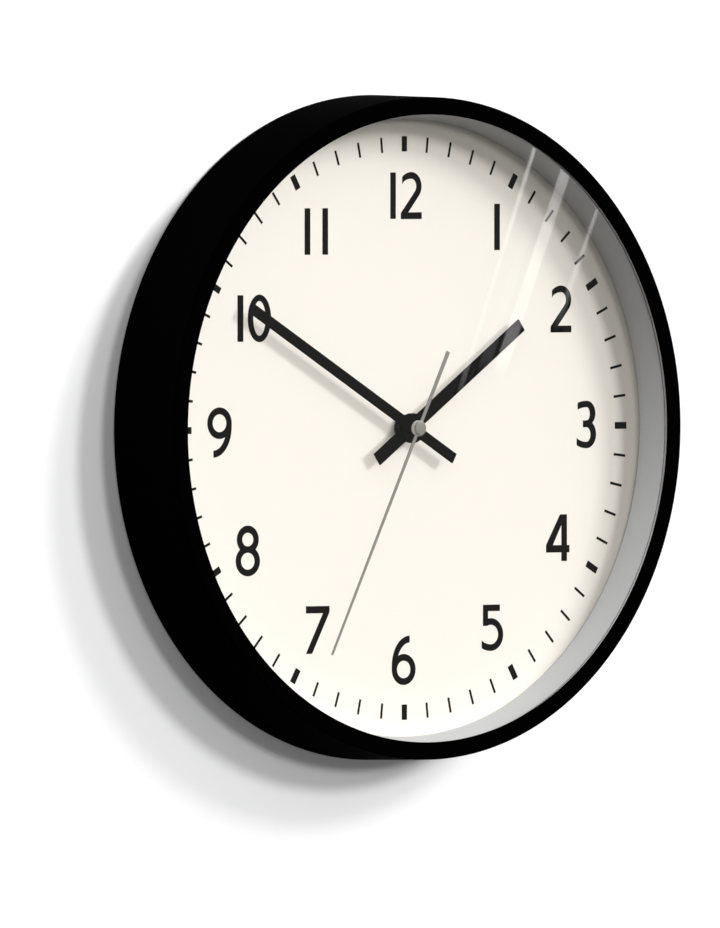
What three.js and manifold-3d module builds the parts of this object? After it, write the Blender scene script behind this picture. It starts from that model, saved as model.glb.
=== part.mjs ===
// A 300 mm drum wall clock with a quartz movement, as an assembly of separate pieces.
//
// The pieces are laid out in the clock's own frame: X to the right, Y up and Z forwards, out of
// the wall, with the hands' axis on Z and the wall at Z = 0. The last lines turn that frame so
// that the dial faces -Y, +Z is up and the origin is where the wall screw meets the wall.

import * as THREE from "three";
import { mergeVertices } from "three/addons/utils/BufferGeometryUtils.js";
import Module from "manifold-3d";

// ---------------------------------------------------------------- driving dimensions, mm
const REST_GAP = 0.2; // between two pieces that rest on each other
const ROUND = 60; // facets of the large rings
const HANG_HEIGHT = 105; // wall screw above the hands' axis

const CASE = { rearRadius: 150, frontRadius: 149.15, depth: 42, edge: 1.0, wallRadius: 147.2 };
const BEZEL = { openingRadius: 141.2, lip: 1.4 };
const REBATE = { radius: 148, depth: 5.2 }; // the cover's seat inside the rear rim
const LENS = { radius: 142.5, thickness: 2, pocketRadius: 142.9, pocketDepth: 36 };
const DIAL = { radius: 142.5, front: 24.2, thickness: 1.6, hole: 4.2 };
const RING = { footRadius: 139, topRadius: 141.2, wall: 1.3 };
const COVER = { radius: 147.7, rear: 2.8, front: 5, skirtRadius: 141, skirtWall: 2.2 };
const COVER_WINDOW = { side: 62, corner: 4 };
const COVER_SCREWS = { count: 6, radius: 145.7, thread: 1.2, head: 2.1, headHeight: 1.9, tip: 15 };
const SCREW_BOSS = { radius: 2.8, hole: 1.3, holeDepth: 17 };
const HANGER = { width: 36, height: 30, rear: 1.4, thickness: 1.2, slot: 2.4, entry: 4.8, drop: 10 };
const RIVETS = { x: 13, above: 4, shank: 1.6, head: 3, headHeight: 0.8 };

const HOUSING = { side: 56, corner: 3, wall: 1.2, front: 21.4, rear: 5.4, split: 12.4 };
const BAY = { top: -9.8, bottom: -10.8 }; // the partition above the battery
const NUT = { flats: 10, height: 1.8 };
const BUSHING = { radius: 4, bore: 2.7, front: 27.4 };
const BRIDGE = { rear: 7, front: 7.9 };
const PIVOT = { radius: 0.28, hole: 0.35, rearEnd: 7.1, frontEnd: 20.8, holeEnd: 21 };
const ARBOR = { radius: 0.4, rear: 8, front: 20.1 };
const STUD = { radius: 0.5, hole: 0.6 }; // the minute wheel turns on it
const SETTING = {
  shaft: 1,
  hole: 1.25,
  shaftRear: 3.6,
  knobRadius: 5.5,
  knobRear: 2.4,
  knobFront: 5.1,
  ridges: 18,
};
const STATOR = { left: 4.6, right: 26.4, legs: 3.1, legTop: 23.2, rear: 11.9, front: 12.7, hole: 3.5 };
const COIL = {
  from: 8,
  to: 23.2,
  flange: 1,
  flangeRadius: 4.4,
  tubeRadius: 2.3,
  windingRadius: 4,
  coreWidth: 3.2,
  coreFrom: 13,
  coreThickness: 1.2,
  y: 21.2,
};
const BOARD = { x: [-26.2, 3.6], y: [18.2, 26.4], z: [13.4, 14.4] };
const CONTACT = { thickness: 0.3, y: [-24.5, -13], z: [7.6, 19] };
const BATTERY = { radius: 7.1, bodyLength: 49.5, nubRadius: 2.6, nub: 1, y: -18.8, z: 12.7, x: -24.9 };

// Minute and hour hands are flat batons on a round hub; the second hand is a needle on a boss.
const HOUR_HAND = { tip: 80, tail: 24.4, width: 6.2, hub: 6.7, bore: 2.7, z: 28.35, turn: -54.8 };
const MINUTE_HAND = { tip: 110, tail: 28, width: 4.9, hub: 6.7, bore: 1.8, z: 30.05, turn: -300 };
const SECOND_HAND = {
  tip: 113.5,
  tail: 38.5,
  tipHalf: 0.6,
  hubHalf: 0.85,
  tailHalf: 1.05,
  needle: 0.35,
  boss: 3.4,
  bossRear: -1.25, // from the needle's plane
  bossFront: 1.55,
  z: 34.25,
  turn: -206.7,
};
const HAND_THICKNESS = 0.7;

// Pipes and arbors on the hands' axis, from the inside out.
const SECOND_ARBOR = 0.5;
const MINUTE_PIPE = { bore: 0.6, radius: 1.7, rear: 15, front: 31.3 };
const HOUR_PIPE = { bore: 1.8, radius: 2.6, front: 29.2 };

// Where each arbor of the train stands, and each wheel's teeth and level.
const polar = (distance, degrees, [x, y] = [0, 0]) => {
  const a = THREE.MathUtils.degToRad(degrees);
  return [x + distance * Math.cos(a), y + distance * Math.sin(a)];
};
const CENTRE = [0, 0];
const THIRD_AT = polar(9, 100);
const INTERMEDIATE_AT = polar(9.375, 20);
const ROTOR_AT = polar(7.5, 60, INTERMEDIATE_AT);
const MINUTE_WHEEL_AT = polar(9, 180);
const SETTING_AT = polar(9, 110, MINUTE_WHEEL_AT);
const BRIDGE_POSTS = [
  [-11, 15.5],
  [17.5, -5.5],
];

const distance = ([ax, ay], [bx, by]) => Math.hypot(bx - ax, by - ay);
const moduleOf = (a, b, teethA, teethB) => (2 * distance(a, b)) / (teethA + teethB);
const ROTOR_PINION = { teeth: 8, from: 8.8, to: 9.8 };
const INTERMEDIATE_WHEEL = { teeth: 48, from: 9, to: 9.6 };
const INTERMEDIATE_PINION = { teeth: 8, from: 10.6, to: 11.8 };
const SECOND_WHEEL = { teeth: 40, from: 10.8, to: 11.6 };
const SECOND_PINION = { teeth: 6, from: 12.8, to: 14 };
const THIRD_WHEEL = { teeth: 45, from: 13, to: 13.8 };
const THIRD_PINION = { teeth: 6, from: 15.4, to: 16.6 };
const CENTRE_WHEEL = { teeth: 48, from: 15.6, to: 16.4 };
const CANNON_PINION = { teeth: 8, from: 16.8, to: 18 };
const MINUTE_WHEEL = { teeth: 24, from: 17, to: 17.8 };
const MINUTE_PINION = { teeth: 6, from: 17.6, to: 19.8 };
const HOUR_WHEEL = { teeth: 24, from: 18.6, to: 19.6 };
const SETTING_PINION = { teeth: 8, from: 16.9, to: 17.9 };

// ---------------------------------------------------------------- solids
const wasm = await Module();
wasm.setup();

function toSolid(geometry) {
  const bare = geometry.clone();
  bare.deleteAttribute("normal");
  bare.deleteAttribute("uv");
  const merged = mergeVertices(bare, 1e-4);
  const vertProperties = merged.attributes.position.array;
  const triVerts = new Uint32Array(merged.index.array);
  return new wasm.Manifold(new wasm.Mesh({ numProp: 3, vertProperties, triVerts }));
}

function toGeometry(solid) {
  const mesh = solid.getMesh();
  const geometry = new THREE.BufferGeometry();
  geometry.setAttribute("position", new THREE.BufferAttribute(mesh.vertProperties, 3));
  geometry.setIndex(new THREE.BufferAttribute(mesh.triVerts, 1));
  return geometry;
}

// Joins the first list of geometries and cuts the second from it.
function combine(joined, cuts = []) {
  let solid = toSolid(joined[0]);
  for (const piece of joined.slice(1)) solid = solid.add(toSolid(piece));
  for (const tool of cuts) solid = solid.subtract(toSolid(tool));
  return toGeometry(solid);
}

// A profile of [radius, z] points turned round the Z axis, with its solid on the left of its path.
function turned(profile, facets = ROUND) {
  const points = profile.map(([r, z]) => new THREE.Vector2(r, z));
  return new THREE.LatheGeometry(points, facets).rotateX(Math.PI / 2);
}

const closed = (profile) => [...profile, profile[0]];

// A washer, tube or ring with a plain rectangular section.
function tube(inner, outer, from, to, facets) {
  const section = [
    [inner, from],
    [outer, from],
    [outer, to],
    [inner, to],
  ];
  return turned(closed(section), facets);
}

function rod(radius, from, to, [x, y] = CENTRE, facets = 16) {
  const geometry = new THREE.CylinderGeometry(radius, radius, to - from, facets);
  return geometry.rotateX(Math.PI / 2).translate(x, y, (from + to) / 2);
}

function block([x0, x1], [y0, y1], [z0, z1]) {
  const geometry = new THREE.BoxGeometry(x1 - x0, y1 - y0, z1 - z0);
  return geometry.translate((x0 + x1) / 2, (y0 + y1) / 2, (z0 + z1) / 2);
}

function plate(shape, from, to, curveSegments = 3) {
  const options = { depth: to - from, bevelEnabled: false, curveSegments };
  return new THREE.ExtrudeGeometry(shape, options).translate(0, 0, from);
}

function outline(points) {
  return new THREE.Shape(points.map(([x, y]) => new THREE.Vector2(x, y)));
}

function roundedRectangle(width, height, corner) {
  const shape = new THREE.Shape();
  const x = width / 2 - corner;
  const y = height / 2 - corner;
  const quarter = Math.PI / 2;
  shape.absarc(x, y, corner, 0, quarter);
  shape.absarc(-x, y, corner, quarter, 2 * quarter);
  shape.absarc(-x, -y, corner, 2 * quarter, 3 * quarter);
  shape.absarc(x, -y, corner, 3 * quarter, 4 * quarter);
  return shape;
}

// ---------------------------------------------------------------- gears
const TOOTH = { wheelTip: 0.7, pinionTip: 0.75, root: 1.1, rootHalf: 0.2, tipHalf: 0.09 };

// Straight-flanked teeth; the first one is centred on +X.
function teeth({ teeth: count, from, to }, module) {
  const pitch = (count * module) / 2;
  const tip = pitch + module * (count < 12 ? TOOTH.pinionTip : TOOTH.wheelTip);
  const root = pitch - module * TOOTH.root;
  const step = (2 * Math.PI) / count;
  const flank = [
    [root, -TOOTH.rootHalf],
    [tip, -TOOTH.tipHalf],
    [tip, TOOTH.tipHalf],
    [root, TOOTH.rootHalf],
  ];
  const points = [];
  for (let i = 0; i < count; i++) {
    for (const [radius, part] of flank) {
      const a = (i + part) * step;
      points.push([radius * Math.cos(a), radius * Math.sin(a)]);
    }
  }
  return plate(outline(points), from, to);
}

// How far gear B is turned to mesh with gear A, which is turned by turnA.
function meshTurn(a, turnA, b, from, to) {
  const towards = Math.atan2(to[1] - from[1], to[0] - from[0]);
  const passed = ((turnA - towards) * a.teeth) / (2 * Math.PI);
  return towards + Math.PI - ((2 * Math.PI) / b.teeth) * (passed + 0.5);
}

// A thin arbor with a finer pivot at each end.
function arbor() {
  return [
    rod(ARBOR.radius, ARBOR.rear, ARBOR.front, CENTRE, 8),
    rod(PIVOT.radius, PIVOT.rearEnd, PIVOT.frontEnd, CENTRE, 8),
  ];
}

const SLOW_MODULE = moduleOf(CENTRE, THIRD_AT, SECOND_PINION.teeth, THIRD_WHEEL.teeth);
const CENTRE_MODULE = moduleOf(CENTRE, THIRD_AT, THIRD_PINION.teeth, CENTRE_WHEEL.teeth);
const FAST_MODULE = moduleOf(CENTRE, INTERMEDIATE_AT, INTERMEDIATE_PINION.teeth, SECOND_WHEEL.teeth);
const ROTOR_MODULE = moduleOf(
  INTERMEDIATE_AT,
  ROTOR_AT,
  ROTOR_PINION.teeth,
  INTERMEDIATE_WHEEL.teeth,
);
const CANNON_MODULE = moduleOf(CENTRE, MINUTE_WHEEL_AT, CANNON_PINION.teeth, MINUTE_WHEEL.teeth);
const HOUR_MODULE = moduleOf(CENTRE, MINUTE_WHEEL_AT, MINUTE_PINION.teeth, HOUR_WHEEL.teeth);

const INTERMEDIATE_TURN = meshTurn(SECOND_WHEEL, 0, INTERMEDIATE_PINION, CENTRE, INTERMEDIATE_AT);
const ROTOR_TURN = meshTurn(
  INTERMEDIATE_WHEEL,
  INTERMEDIATE_TURN,
  ROTOR_PINION,
  INTERMEDIATE_AT,
  ROTOR_AT,
);
const THIRD_TURN = meshTurn(SECOND_PINION, 0, THIRD_WHEEL, CENTRE, THIRD_AT);
const CENTRE_TURN = meshTurn(THIRD_PINION, THIRD_TURN, CENTRE_WHEEL, THIRD_AT, CENTRE);
const MINUTE_WHEEL_TURN = meshTurn(CANNON_PINION, 0, MINUTE_WHEEL, CENTRE, MINUTE_WHEEL_AT);
const HOUR_WHEEL_TURN = meshTurn(
  MINUTE_PINION,
  MINUTE_WHEEL_TURN,
  HOUR_WHEEL,
  MINUTE_WHEEL_AT,
  CENTRE,
);
const SETTING_TURN = meshTurn(
  MINUTE_WHEEL,
  MINUTE_WHEEL_TURN,
  SETTING_PINION,
  MINUTE_WHEEL_AT,
  SETTING_AT,
);

// ---------------------------------------------------------------- case, lens, dial and cover
const screwPlaces = Array.from({ length: COVER_SCREWS.count }, (_, i) =>
  polar(COVER_SCREWS.radius, (360 / COVER_SCREWS.count) * i),
);
const lensFront = CASE.depth - BEZEL.lip - REST_GAP;
const lensRear = lensFront - LENS.thickness;
const dialRear = DIAL.front - DIAL.thickness;

function caseShell() {
  const { rearRadius, frontRadius, depth, edge, wallRadius } = CASE;
  const section = [
    [BEZEL.openingRadius, depth - BEZEL.lip],
    [LENS.pocketRadius, depth - BEZEL.lip],
    [LENS.pocketRadius, LENS.pocketDepth],
    [wallRadius, LENS.pocketDepth],
    [wallRadius, REBATE.depth],
    [REBATE.radius, REBATE.depth],
    [REBATE.radius, 0],
    [rearRadius - edge * 0.6, 0],
    [rearRadius, edge],
    [frontRadius, depth - edge],
    [frontRadius - edge, depth],
    [BEZEL.openingRadius, depth],
  ];
  const bosses = screwPlaces.map((at) =>
    rod(SCREW_BOSS.radius, REBATE.depth, LENS.pocketDepth + 1, at, 12),
  );
  const holes = screwPlaces.map((at) =>
    rod(SCREW_BOSS.hole, REBATE.depth - 1, SCREW_BOSS.holeDepth, at, 10),
  );
  return combine([turned(closed(section)), ...bosses], holes);
}

function frontGlass() {
  return rod(LENS.radius, lensRear, lensFront, CENTRE, ROUND);
}

// The white inner wall: a thin cone with a flat foot on the dial.
function spacerRing() {
  const foot = DIAL.front + REST_GAP;
  const top = lensRear - REST_GAP;
  const slope = (RING.topRadius - RING.footRadius) / (top - foot);
  const flangeTop = foot + RING.wall;
  const outer = DIAL.radius;
  return turned(
    closed([
      [RING.footRadius, foot],
      [outer, foot],
      [outer, flangeTop],
      [outer - slope * (top - flangeTop), flangeTop],
      [outer, top],
      [RING.topRadius, top],
    ]),
  );
}

function dialPlate() {
  return combine(
    [rod(DIAL.radius, dialRear, DIAL.front, CENTRE, ROUND)],
    [rod(DIAL.hole, dialRear - 1, DIAL.front + 1, CENTRE, 24)],
  );
}

// A disc in the case's rebate, with a skirt that presses the dial, ring and lens forwards.
function backCover() {
  const { radius, rear, front, skirtRadius, skirtWall } = COVER;
  const skirtFront = dialRear - REST_GAP;
  const disc = turned([
    [0, rear],
    [radius, rear],
    [radius, front],
    [skirtRadius, front],
    [skirtRadius, skirtFront],
    [skirtRadius - skirtWall, skirtFront],
    [skirtRadius - skirtWall, front],
    [0, front],
  ]);
  const window = roundedRectangle(COVER_WINDOW.side, COVER_WINDOW.side, COVER_WINDOW.corner);
  const headRoom = roundedRectangle(2 * HANGER.entry + 6, HANGER.drop + 18, 3);
  const through = (shape) => plate(shape, rear - 1, front + 1);
  const hole = (radius) => (at) => rod(radius, rear - 1, front + 1, at, 10);
  return combine(
    [disc],
    [
      through(window),
      through(headRoom).translate(0, HANG_HEIGHT - HANGER.drop / 2, 0),
      ...screwPlaces.map(hole(SCREW_BOSS.hole + 0.15)),
      ...rivetPlaces.map(hole(RIVETS.shank + 0.2)),
    ],
  );
}

// A pan-head screw that stands at the origin of its own place, its head to the rear.
function coverScrew() {
  const { thread, head, headHeight, tip } = COVER_SCREWS;
  const seat = COVER.rear - REST_GAP / 2;
  return turned(
    [
      [0, seat - headHeight],
      [head * 0.75, seat - headHeight],
      [head, seat - headHeight * 0.55],
      [head, seat],
      [thread, seat],
      [thread, tip - thread],
      [0, tip],
    ],
    10,
  );
}

// ---------------------------------------------------------------- hanger
const rivetPlaces = [-1, 1].map((side) => [side * RIVETS.x, HANG_HEIGHT + RIVETS.above]);

// A flat steel plate with a keyhole: a round entry below and a slot that runs up to the hook.
function hangerPlate() {
  const { width, height, rear, thickness, slot, entry, drop } = HANGER;
  const shape = roundedRectangle(width, height, 3);
  const centre = HANG_HEIGHT - drop / 2;
  const hook = drop / 2;
  const entryCentre = -drop / 2;
  const side = Math.asin(slot / entry);
  const keyhole = new THREE.Path();
  keyhole.absarc(0, hook, slot, 0, Math.PI);
  keyhole.absarc(0, entryCentre, entry, Math.PI / 2 + side, Math.PI * 2.5 - side);
  shape.holes.push(keyhole);
  for (const [x, y] of rivetPlaces) {
    const hole = new THREE.Path();
    hole.absarc(x, y - centre, RIVETS.shank + 0.2, 0, 2 * Math.PI);
    shape.holes.push(hole);
  }
  return plate(shape, rear, rear + thickness, 4).translate(0, centre, 0);
}

function hangerRivet() {
  const { shank, head, headHeight } = RIVETS;
  const plateRear = HANGER.rear - REST_GAP / 2;
  const coverFront = COVER.front + REST_GAP / 2;
  return turned(
    [
      [0, plateRear - headHeight],
      [head * 0.7, plateRear - headHeight],
      [head, plateRear - headHeight * 0.3],
      [head, plateRear],
      [shank, plateRear],
      [shank, coverFront],
      [head * 0.85, coverFront],
      [head * 0.85, coverFront + headHeight],
      [0, coverFront + headHeight],
    ],
    10,
  );
}

function hexNut() {
  const corners = Array.from({ length: 6 }, (_, i) => polar(NUT.flats / Math.sqrt(3), 60 * i));
  const from = DIAL.front + 1.1;
  return combine(
    [plate(outline(corners), from, from + NUT.height)],
    [rod(BUSHING.radius + 0.1, from - 1, from + NUT.height + 1, CENTRE, 24)],
  );
}

// ---------------------------------------------------------------- movement housing
const inside = HOUSING.side / 2 - HOUSING.wall;

function housingBlock(from, to) {
  return plate(roundedRectangle(HOUSING.side, HOUSING.side, HOUSING.corner), from, to, 2);
}

function housingHollow(from, to) {
  const side = 2 * inside;
  return plate(roundedRectangle(side, side, HOUSING.corner - HOUSING.wall), from, to, 2);
}

// The front half: floor, side walls, battery partition, threaded bushing, stud and bridge posts.
function movementFrontHousing() {
  const { front, wall, split } = HOUSING;
  const floor = front - wall;
  const pivots = [THIRD_AT, INTERMEDIATE_AT, ROTOR_AT, SETTING_AT];
  const shell = combine([housingBlock(split, front)], [housingHollow(split - 1, floor)]);
  const partition = block(
    [-inside - 0.5, inside + 0.5],
    [BAY.bottom, BAY.top],
    [split, floor + 0.5],
  );
  const stud = rod(STUD.radius, MINUTE_WHEEL.from - 0.4, floor + 0.5, MINUTE_WHEEL_AT, 12);
  const posts = BRIDGE_POSTS.map((at) => rod(1.4, BRIDGE.front + 0.1, floor + 0.5, at, 12));
  const bushing = rod(BUSHING.radius, floor + 0.2, BUSHING.front, CENTRE, 24);
  return combine(
    [shell, partition, stud, bushing, ...posts],
    [
      rod(BUSHING.bore, floor - 1, BUSHING.front + 1, CENTRE, 24),
      ...pivots.map((at) => rod(PIVOT.hole, floor - 1, PIVOT.holeEnd, at, 12)),
    ],
  );
}

// The rear half, open over the battery and pierced for the setting shaft.
function movementRearCover() {
  const { rear, wall, split } = HOUSING;
  const rim = split - REST_GAP;
  const across = [-inside - 0.5, inside + 0.5];
  const bayEdge = 0.2;
  return combine(
    [
      combine([housingBlock(rear, rim)], [housingHollow(rear + wall, rim + 1)]),
      block(across, [BAY.bottom, BAY.top], [rear + wall / 2, rim]),
    ],
    [
      block(
        [-inside + bayEdge, inside - bayEdge],
        [-inside + bayEdge, BAY.bottom - bayEdge],
        [rear - 1, rear + wall + 1],
      ),
      rod(SETTING.hole, rear - 1, rear + wall + 1, SETTING_AT),
    ],
  );
}

// The plate behind the train, with a hole for each arbor's rear pivot.
function trainBridge() {
  const edge = [
    [-13.4, 17.6],
    [-13.4, 13.6],
    [-3.4, -2.6],
    [15.8, -7.8],
    [19.6, -7.8],
    [19.6, -3],
    [15.8, 13],
    [3, 13],
    [-8.6, 17.6],
  ];
  const { rear, front } = BRIDGE;
  const arbors = [CENTRE, THIRD_AT, INTERMEDIATE_AT, ROTOR_AT];
  const holes = arbors.map((at) => rod(PIVOT.hole, rear - 1, front + 1, at, 12));
  return combine([plate(outline(edge), rear, front)], holes);
}

// ---------------------------------------------------------------- drive and electronics
const alongX = (geometry, y, z) => geometry.rotateY(Math.PI / 2).translate(0, y, z);

function stator() {
  const { left, right, legTop, legs } = STATOR;
  const edge = [
    [7.6, 5.2],
    [17.6, 5.2],
    [right, 12],
    [right, legTop],
    [right - legs, legTop],
    [right - legs, 15.2],
    [left + legs, 15.2],
    [left + legs, legTop],
    [left, legTop],
    [left, 16.6],
    [7.6, 13.4],
  ];
  const rotorHole = rod(STATOR.hole, STATOR.rear - 1, STATOR.front + 1, ROTOR_AT, 24);
  return combine([plate(outline(edge), STATOR.rear, STATOR.front)], [rotorHole]);
}

function coilCore() {
  const { coreWidth, coreFrom, coreThickness, y } = COIL;
  return block(
    [STATOR.left + 0.2, STATOR.right - 0.2],
    [y - coreWidth / 2, y + coreWidth / 2],
    [coreFrom, coreFrom + coreThickness],
  );
}

const coilDepth = COIL.coreFrom + COIL.coreThickness / 2;

function coilBobbin() {
  const { from, to, flange, flangeRadius, tubeRadius, coreWidth, coreThickness, y } = COIL;
  const spool = turned([
    [0, from],
    [flangeRadius, from],
    [flangeRadius, from + flange],
    [tubeRadius, from + flange],
    [tubeRadius, to - flange],
    [flangeRadius, to - flange],
    [flangeRadius, to],
    [0, to],
  ], 20);
  const slack = 0.2;
  const slot = block(
    [from - 1, to + 1],
    [y - coreWidth / 2 - slack, y + coreWidth / 2 + slack],
    [COIL.coreFrom - slack, COIL.coreFrom + coreThickness + slack],
  );
  return combine([alongX(spool, y, coilDepth)], [slot]);
}

function coilWinding() {
  const { from, to, flange, tubeRadius, windingRadius, y } = COIL;
  const section = [
    [tubeRadius + 0.1, from + flange + 0.1],
    [windingRadius - 0.3, from + flange + 0.1],
    [windingRadius, from + flange + 0.5],
    [windingRadius, to - flange - 0.5],
    [windingRadius - 0.3, to - flange - 0.1],
    [tubeRadius + 0.1, to - flange - 0.1],
  ];
  return alongX(turned(closed(section), 20), y, coilDepth);
}

function circuitBoard() {
  return block(BOARD.x, BOARD.y, BOARD.z);
}

// The moulded drop of resin over the timing chip.
function timerChip() {
  const front = BOARD.z[1] + REST_GAP / 2;
  const profile = [
    [0, front],
    [3.2, front],
    [2.8, front + 0.7],
    [1.6, front + 1.15],
    [0, front + 1.3],
  ];
  return turned(profile, 16).translate(-8, 22.3, 0);
}

function quartzCrystal() {
  const can = [
    [0, -22.5],
    [1, -22.5],
    [1, -16.8],
    [0.8, -16.5],
    [0, -16.5],
  ];
  return alongX(turned(can, 12), 22.3, BOARD.z[1] + 1.2);
}

function batteryContactPositive() {
  const plateFace = BATTERY.x + BATTERY.bodyLength + BATTERY.nub + REST_GAP;
  return block([plateFace, plateFace + CONTACT.thickness], CONTACT.y, CONTACT.z);
}

// A flat tab against the bay's end with a leaf that bows out to the battery.
function batteryContactNegative() {
  const wallSide = -inside + REST_GAP;
  const face = wallSide + CONTACT.thickness;
  const tab = block([wallSide, face], CONTACT.y, CONTACT.z);
  const crest = BATTERY.x - REST_GAP;
  const leaf = outline([
    [wallSide + 0.1, BATTERY.y - 5],
    [crest, BATTERY.y - 0.8],
    [crest, BATTERY.y + 0.8],
    [wallSide + 0.1, BATTERY.y + 5],
    [wallSide + 0.1, BATTERY.y + 4.2],
    [crest - CONTACT.thickness, BATTERY.y + 0.6],
    [crest - CONTACT.thickness, BATTERY.y - 0.6],
    [wallSide + 0.1, BATTERY.y - 4.2],
  ]);
  return combine([tab, plate(leaf, BATTERY.z - 2.5, BATTERY.z + 2.5)]);
}

function battery() {
  const { radius, bodyLength, nubRadius, nub, x, y, z } = BATTERY;
  const end = x + bodyLength;
  const chamfer = 0.5;
  const profile = [
    [0, x],
    [radius - chamfer, x],
    [radius, x + chamfer],
    [radius, end - chamfer],
    [radius - chamfer, end],
    [nubRadius, end],
    [nubRadius, end + nub],
    [0, end + nub],
  ];
  return alongX(turned(profile, 24), y, z);
}

// ---------------------------------------------------------------- train
// A toothed wheel and the pinion cut on the same arbor.
function wheelOnArbor(wheel, wheelModule, pinion, pinionModule) {
  return combine([teeth(wheel, wheelModule), teeth(pinion, pinionModule), ...arbor()]);
}

const rotorPinion = () => combine([teeth(ROTOR_PINION, ROTOR_MODULE), ...arbor()]);

const rotorMagnet = () => tube(ARBOR.radius + 0.1, 3, 10.6, 13.6, 20);

const intermediateWheel = () =>
  wheelOnArbor(INTERMEDIATE_WHEEL, ROTOR_MODULE, INTERMEDIATE_PINION, FAST_MODULE);

const thirdWheel = () => wheelOnArbor(THIRD_WHEEL, SLOW_MODULE, THIRD_PINION, CENTRE_MODULE);

// The seconds wheel's arbor runs forwards through the minute pipe and carries the second hand.
function secondWheel() {
  const front = SECOND_HAND.z + HAND_THICKNESS;
  return combine([
    teeth(SECOND_WHEEL, FAST_MODULE),
    teeth(SECOND_PINION, SLOW_MODULE),
    rod(SECOND_ARBOR, ARBOR.rear, front, CENTRE, 10),
    rod(PIVOT.radius, PIVOT.rearEnd, ARBOR.rear + 1, CENTRE, 8),
  ]);
}

// It turns on the minute pipe and drives it by friction.
function centreWheel() {
  const { from, to } = CENTRE_WHEEL;
  const bore = rod(MINUTE_PIPE.radius + 0.1, from - 1, to + 1, CENTRE, 24);
  return combine([teeth(CENTRE_WHEEL, CENTRE_MODULE)], [bore]);
}

function minutePipe() {
  const { bore, radius, rear, front } = MINUTE_PIPE;
  return combine(
    [rod(radius, rear, front, CENTRE, 24), teeth(CANNON_PINION, CANNON_MODULE)],
    [rod(bore, rear - 1, front + 1)],
  );
}

function minuteWheel() {
  const { from } = MINUTE_WHEEL;
  const { to } = MINUTE_PINION;
  return combine(
    [teeth(MINUTE_WHEEL, CANNON_MODULE), teeth(MINUTE_PINION, HOUR_MODULE)],
    [rod(STUD.hole, from - 1, to + 1, CENTRE, 12)],
  );
}

function hourWheel() {
  const { bore, radius, front } = HOUR_PIPE;
  const { from } = HOUR_WHEEL;
  return combine(
    [teeth(HOUR_WHEEL, HOUR_MODULE), rod(radius, from, front, CENTRE, 24)],
    [rod(bore, from - 1, front + 1, CENTRE, 24)],
  );
}

function settingShaft() {
  return combine([
    teeth(SETTING_PINION, CANNON_MODULE),
    rod(SETTING.shaft, SETTING.shaftRear, SETTING_PINION.to + 1, CENTRE, 12),
    rod(PIVOT.radius, SETTING_PINION.to, PIVOT.frontEnd, CENTRE, 8),
  ]);
}

// A thumb wheel with a milled edge.
function settingKnob() {
  const { knobRadius, knobRear, knobFront, ridges, shaft, shaftRear } = SETTING;
  const points = Array.from({ length: 2 * ridges }, (_, i) =>
    polar(knobRadius - 0.45 * (i % 2), (180 / ridges) * i),
  );
  const socket = rod(shaft + 0.1, shaftRear - 0.1, knobFront + 1, CENTRE, 16);
  return combine([plate(outline(points), knobRear, knobFront)], [socket]);
}

// ---------------------------------------------------------------- hands
// A flat baton that points to twelve, with a round hub and a collar for its pipe behind it.
function baton({ tip, tail, width, hub, bore }, collar) {
  const half = width / 2;
  const side = Math.asin(half / hub);
  const quarter = Math.PI / 2;
  const shape = new THREE.Shape();
  shape.moveTo(half, -tail);
  shape.absarc(0, 0, hub, side - quarter, quarter - side);
  shape.lineTo(half, tip);
  shape.lineTo(-half, tip);
  shape.absarc(0, 0, hub, quarter + side, 3 * quarter - side);
  shape.lineTo(-half, -tail);
  return combine(
    [plate(shape, 0, HAND_THICKNESS, 6), rod(bore + 1.2, -collar, 0.3, CENTRE, 24)],
    [rod(bore + 0.1, -collar - 1, HAND_THICKNESS + 1, CENTRE, 24)],
  );
}

// A needle through a round boss that is pressed on the seconds arbor.
function secondHand() {
  const { tip, tail, boss, tipHalf, hubHalf, tailHalf, needle, bossRear, bossFront } = SECOND_HAND;
  const needleShape = outline([
    [tailHalf, -tail],
    [hubHalf, 0],
    [tipHalf, tip],
    [-tipHalf, tip],
    [-hubHalf, 0],
    [-tailHalf, -tail],
  ]);
  const cap = turned([
    [0, bossRear],
    [boss, bossRear],
    [boss, bossFront - 0.3],
    [boss - 0.3, bossFront],
    [0, bossFront],
  ], 24);
  return combine(
    [plate(needleShape, 0, needle), cap],
    [rod(SECOND_ARBOR + 0.1, bossRear - 1, HAND_THICKNESS + 0.2)],
  );
}

// ---------------------------------------------------------------- finishes
const finish = (color, roughness, metalness = 0) => ({ color, roughness, metalness });
const blackPlastic = finish(0x0a0a0a, 0.55);
const whitePlastic = finish(0xf2f2f0, 0.6);
const creamPaint = finish(0xfffdf1, 0.7);
const handPaint = finish(0x1a1a18, 0.6);
const greyPaint = finish(0x96948c, 0.45, 0.2);
const steel = finish(0x9a9c9e, 0.35, 0.9);
const brass = finish(0xb08d4a, 0.35, 0.9);
const blackSteel = finish(0x2a2a2a, 0.5, 0.4);
const copper = finish(0xa65f35, 0.4, 0.8);
const naturalNylon = finish(0xe8e4d6, 0.5);
const darkHousing = finish(0x141414, 0.6);
const rubber = finish(0x202020, 0.9);
const ferrite = finish(0x3a3a3c, 0.5, 0.3);
const boardGreen = finish(0x2f6b3c, 0.6);
const cellJacket = finish(0x2c5f8a, 0.4, 0.2);
const glassClear = { ...finish(0xffffff, 0.03), transparent: true, opacity: 0.15 };

// ---------------------------------------------------------------- assembly
const clock = new THREE.Group();

function add(name, geometry, look, { at = CENTRE, z = 0, turn = 0 } = {}) {
  const mesh = new THREE.Mesh(geometry, new THREE.MeshStandardMaterial(look));
  mesh.name = name;
  mesh.position.set(at[0], at[1], z);
  mesh.rotation.z = turn;
  clock.add(mesh);
}

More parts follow.
